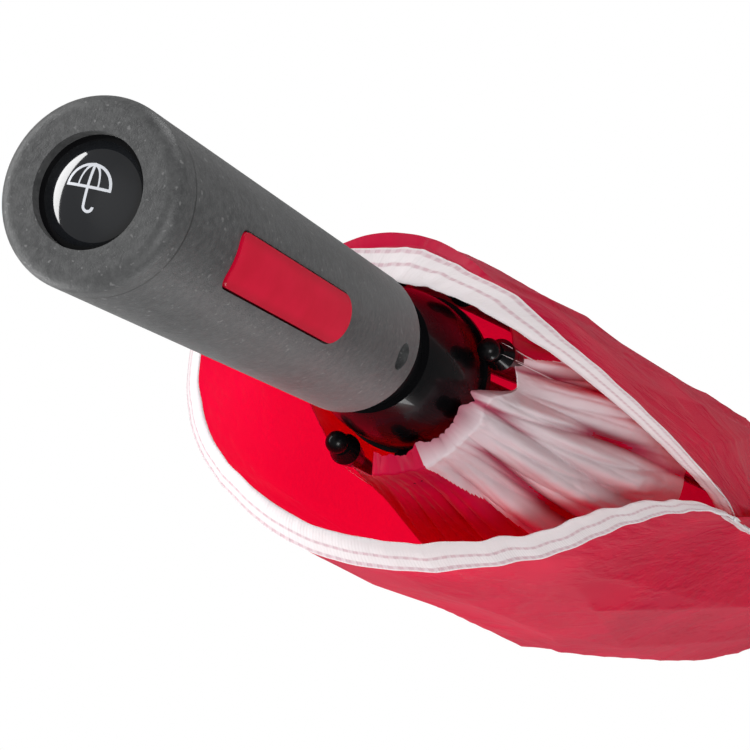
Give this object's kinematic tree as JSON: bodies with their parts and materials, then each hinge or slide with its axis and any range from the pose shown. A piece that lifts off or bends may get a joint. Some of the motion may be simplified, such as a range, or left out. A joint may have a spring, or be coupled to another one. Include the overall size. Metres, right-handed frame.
{
  "type": "golf umbrella",
  "caption": "Closed golf umbrella with a straight rubber grip, a flush release button, a bell-shaped runner cup and a loose red and white canopy that opens.",
  "frame": {"origin": "centre of the grip's end face, on the shaft axis", "axes": "+Z along the shaft from the grip to the tip; -Y out through the button"},
  "size_m": [0.117, 0.117, 0.9834],
  "materials": {
    "soft_rubber": "soft matte, fine grain",
    "gloss_black": "polished moulding",
    "lens_black": "clear domed gloss over black",
    "button_red": "glossy",
    "black_plastic": "satin moulding",
    "black_shaft": "satin black",
    "steel": "plated",
    "glass_fibre": "pultruded rod",
    "red_cloth": "taffeta, slight sheen",
    "white_cloth": "taffeta, slight sheen",
    "hem_white": "binding tape"
  },
  "bodies": {
    "handle": {"grip_sleeve": "soft_rubber", "grip_end_ring": "soft_rubber", "grip_core": "black_plastic", "lower_bush": "black_plastic", "upper_bush": "black_plastic", "lens": "lens_black", "lens_seat": "gloss_black", "button_springs": "steel", "shaft": "black_shaft", "opening_spring": "steel", "top_notch": "black_plastic", "notch_pins": "steel", "crown_cap": "gloss_black", "ferrule": "gloss_black", "canopy_wrap": "red_cloth"},
    "button": {"button": "button_red", "catch": "steel"},
    "runner": {"runner": "gloss_black", "runner_cup": "gloss_black", "runner_pins": "steel"},
    "rib_1": {"rib_1": "glass_fibre", "rib_fittings_1": "black_plastic", "rib_tip_1": "black_plastic"},
    "strut_1": {"strut_1": "black_shaft"},
    "gore_1": {"gore_1": "red_cloth"},
    "rib_2": {"rib_2": "glass_fibre", "rib_fittings_2": "black_plastic", "rib_tip_2": "black_plastic"},
    "strut_2": {"strut_2": "black_shaft"},
    "gore_2": {"gore_2": "white_cloth"},
    "rib_3": {"rib_3": "glass_fibre", "rib_fittings_3": "black_plastic", "rib_tip_3": "black_plastic"},
    "strut_3": {"strut_3": "black_shaft"},
    "gore_3": {"gore_3": "red_cloth"},
    "rib_4": {"rib_4": "glass_fibre", "rib_fittings_4": "black_plastic", "rib_tip_4": "black_plastic"},
    "strut_4": {"strut_4": "black_shaft"},
    "gore_4": {"gore_4": "white_cloth"},
    "rib_5": {"rib_5": "glass_fibre", "rib_fittings_5": "black_plastic", "rib_tip_5": "black_plastic"},
    "strut_5": {"strut_5": "black_shaft"},
    "gore_5": {"gore_5": "red_cloth"},
    "rib_6": {"rib_6": "glass_fibre", "rib_fittings_6": "black_plastic", "rib_tip_6": "black_plastic"},
    "strut_6": {"strut_6": "black_shaft"},
    "gore_6": {"gore_6": "white_cloth"},
    "rib_7": {"rib_7": "glass_fibre", "rib_fittings_7": "black_plastic", "rib_tip_7": "black_plastic"},
    "strut_7": {"strut_7": "black_shaft"},
    "gore_7": {"gore_7": "red_cloth"},
    "rib_8": {"rib_8": "glass_fibre", "rib_fittings_8": "black_plastic", "rib_tip_8": "black_plastic"},
    "strut_8": {"strut_8": "black_shaft"},
    "gore_8": {"gore_8": "white_cloth"}
  },
  "joints": [
    {"name": "canopy_opening", "type": "hinge", "parent": "handle", "child": "rib_1", "pos_m": [0.01154, 0.00331, 0.91489], "axis": [0.2756, -0.9613, 0], "range_deg": [0, 72.9], "deforming": ["canopy_wrap", "opening_spring"]},
    {"name": "strut_1_fold", "type": "hinge", "parent": "rib_1", "child": "strut_1", "pos_m": [0.03537, 0.01014, 0.55994], "axis": [-0.2756, 0.9613, 0], "range_deg": [0, 145.8]},
    {"name": "gore_1_spread", "type": "hinge", "parent": "rib_1", "child": "gore_1", "pos_m": [0.01132, 0.00325, 0.92737], "axis": [0.9234, 0.3835, 0.0174], "range_deg": [0, 43.15]},
    {"name": "rib_2_opening", "type": "hinge", "parent": "handle", "child": "rib_2", "pos_m": [0.00582, 0.0105, 0.91489], "axis": [0.8746, -0.4848, 0], "range_deg": [0, 72.9]},
    {"name": "strut_2_fold", "type": "hinge", "parent": "rib_2", "child": "strut_2", "pos_m": [0.01784, 0.03218, 0.55994], "axis": [-0.8746, 0.4848, 0], "range_deg": [0, 145.8]},
    {"name": "gore_2_spread", "type": "hinge", "parent": "rib_2", "child": "gore_2", "pos_m": [0.00571, 0.0103, 0.92737], "axis": [0.3818, 0.9241, 0.0174], "range_deg": [0, 43.15]},
    {"name": "rib_3_opening", "type": "hinge", "parent": "handle", "child": "rib_3", "pos_m": [-0.00331, 0.01154, 0.91489], "axis": [0.9613, 0.2756, 0], "range_deg": [0, 72.9]},
    {"name": "strut_3_fold", "type": "hinge", "parent": "rib_3", "child": "strut_3", "pos_m": [-0.01014, 0.03537, 0.55994], "axis": [-0.9613, -0.2756, 0], "range_deg": [0, 145.8]},
    {"name": "gore_3_spread", "type": "hinge", "parent": "rib_3", "child": "gore_3", "pos_m": [-0.00325, 0.01132, 0.92737], "axis": [-0.3835, 0.9234, 0.0174], "range_deg": [0, 43.15]},
    {"name": "rib_4_opening", "type": "hinge", "parent": "handle", "child": "rib_4", "pos_m": [-0.0105, 0.00582, 0.91489], "axis": [0.4848, 0.8746, 0], "range_deg": [0, 72.9]},
    {"name": "strut_4_fold", "type": "hinge", "parent": "rib_4", "child": "strut_4", "pos_m": [-0.03218, 0.01784, 0.55994], "axis": [-0.4848, -0.8746, 0], "range_deg": [0, 145.8]},
    {"name": "gore_4_spread", "type": "hinge", "parent": "rib_4", "child": "gore_4", "pos_m": [-0.0103, 0.00571, 0.92737], "axis": [-0.9241, 0.3818, 0.0174], "range_deg": [0, 43.15]},
    {"name": "rib_5_opening", "type": "hinge", "parent": "handle", "child": "rib_5", "pos_m": [-0.01154, -0.00331, 0.91489], "axis": [-0.2756, 0.9613, 0], "range_deg": [0, 72.9]},
    {"name": "strut_5_fold", "type": "hinge", "parent": "rib_5", "child": "strut_5", "pos_m": [-0.03537, -0.01014, 0.55994], "axis": [0.2756, -0.9613, 0], "range_deg": [0, 145.8]},
    {"name": "gore_5_spread", "type": "hinge", "parent": "rib_5", "child": "gore_5", "pos_m": [-0.01132, -0.00325, 0.92737], "axis": [-0.9234, -0.3835, 0.0174], "range_deg": [0, 43.15]},
    {"name": "rib_6_opening", "type": "hinge", "parent": "handle", "child": "rib_6", "pos_m": [-0.00582, -0.0105, 0.91489], "axis": [-0.8746, 0.4848, 0], "range_deg": [0, 72.9]},
    {"name": "strut_6_fold", "type": "hinge", "parent": "rib_6", "child": "strut_6", "pos_m": [-0.01784, -0.03218, 0.55994], "axis": [0.8746, -0.4848, 0], "range_deg": [0, 145.8]},
    {"name": "gore_6_spread", "type": "hinge", "parent": "rib_6", "child": "gore_6", "pos_m": [-0.00571, -0.0103, 0.92737], "axis": [-0.3818, -0.9241, 0.0174], "range_deg": [0, 43.15]},
    {"name": "rib_7_opening", "type": "hinge", "parent": "handle", "child": "rib_7", "pos_m": [0.00331, -0.01154, 0.91489], "axis": [-0.9613, -0.2756, 0], "range_deg": [0, 72.9]},
    {"name": "strut_7_fold", "type": "hinge", "parent": "rib_7", "child": "strut_7", "pos_m": [0.01014, -0.03537, 0.55994], "axis": [0.9613, 0.2756, 0], "range_deg": [0, 145.8]},
    {"name": "gore_7_spread", "type": "hinge", "parent": "rib_7", "child": "gore_7", "pos_m": [0.00325, -0.01132, 0.92737], "axis": [0.3835, -0.9234, 0.0174], "range_deg": [0, 43.15]},
    {"name": "rib_8_opening", "type": "hinge", "parent": "handle", "child": "rib_8", "pos_m": [0.0105, -0.00582, 0.91489], "axis": [-0.4848, -0.8746, 0], "range_deg": [0, 72.9]},
    {"name": "strut_8_fold", "type": "hinge", "parent": "rib_8", "child": "strut_8", "pos_m": [0.03218, -0.01784, 0.55994], "axis": [0.4848, 0.8746, 0], "range_deg": [0, 145.8]},
    {"name": "gore_8_spread", "type": "hinge", "parent": "rib_8", "child": "gore_8", "pos_m": [0.0103, -0.00571, 0.92737], "axis": [0.9241, -0.3818, 0.0174], "range_deg": [0, 43.15]},
    {"name": "runner_travel", "type": "hinge", "parent": "strut_1", "child": "runner", "pos_m": [0.01154, 0.00331, 0.205], "axis": [0.2756, -0.9613, 0], "range_deg": [0, 72.9]},
    {"name": "button_press", "type": "slide", "parent": "handle", "child": "button", "axis": [0, 1, 0], "range_m": [0, 0.0016], "stiffness_N_per_m": 400, "springref_m": -0.002, "deforming": ["button_springs"]}
  ],
  "couplings": [
    {"joint": "strut_1_fold", "follows": "canopy_opening", "ratio": 2},
    {"joint": "gore_1_spread", "follows": "canopy_opening", "ratio": 0.59163},
    {"joint": "rib_2_opening", "follows": "canopy_opening", "ratio": 1},
    {"joint": "strut_2_fold", "follows": "canopy_opening", "ratio": 2},
    {"joint": "gore_2_spread", "follows": "canopy_opening", "ratio": 0.59163},
    {"joint": "rib_3_opening", "follows": "canopy_opening", "ratio": 1},
    {"joint": "strut_3_fold", "follows": "canopy_opening", "ratio": 2},
    {"joint": "gore_3_spread", "follows": "canopy_opening", "ratio": 0.59163},
    {"joint": "rib_4_opening", "follows": "canopy_opening", "ratio": 1},
    {"joint": "strut_4_fold", "follows": "canopy_opening", "ratio": 2},
    {"joint": "gore_4_spread", "follows": "canopy_opening", "ratio": 0.59163},
    {"joint": "rib_5_opening", "follows": "canopy_opening", "ratio": 1},
    {"joint": "strut_5_fold", "follows": "canopy_opening", "ratio": 2},
    {"joint": "gore_5_spread", "follows": "canopy_opening", "ratio": 0.59163},
    {"joint": "rib_6_opening", "follows": "canopy_opening", "ratio": 1},
    {"joint": "strut_6_fold", "follows": "canopy_opening", "ratio": 2},
    {"joint": "gore_6_spread", "follows": "canopy_opening", "ratio": 0.59163},
    {"joint": "rib_7_opening", "follows": "canopy_opening", "ratio": 1},
    {"joint": "strut_7_fold", "follows": "canopy_opening", "ratio": 2},
    {"joint": "gore_7_spread", "follows": "canopy_opening", "ratio": 0.59163},
    {"joint": "rib_8_opening", "follows": "canopy_opening", "ratio": 1},
    {"joint": "strut_8_fold", "follows": "canopy_opening", "ratio": 2},
    {"joint": "gore_8_spread", "follows": "canopy_opening", "ratio": 0.59163},
    {"joint": "runner_travel", "follows": "canopy_opening", "ratio": 1}
  ]
}
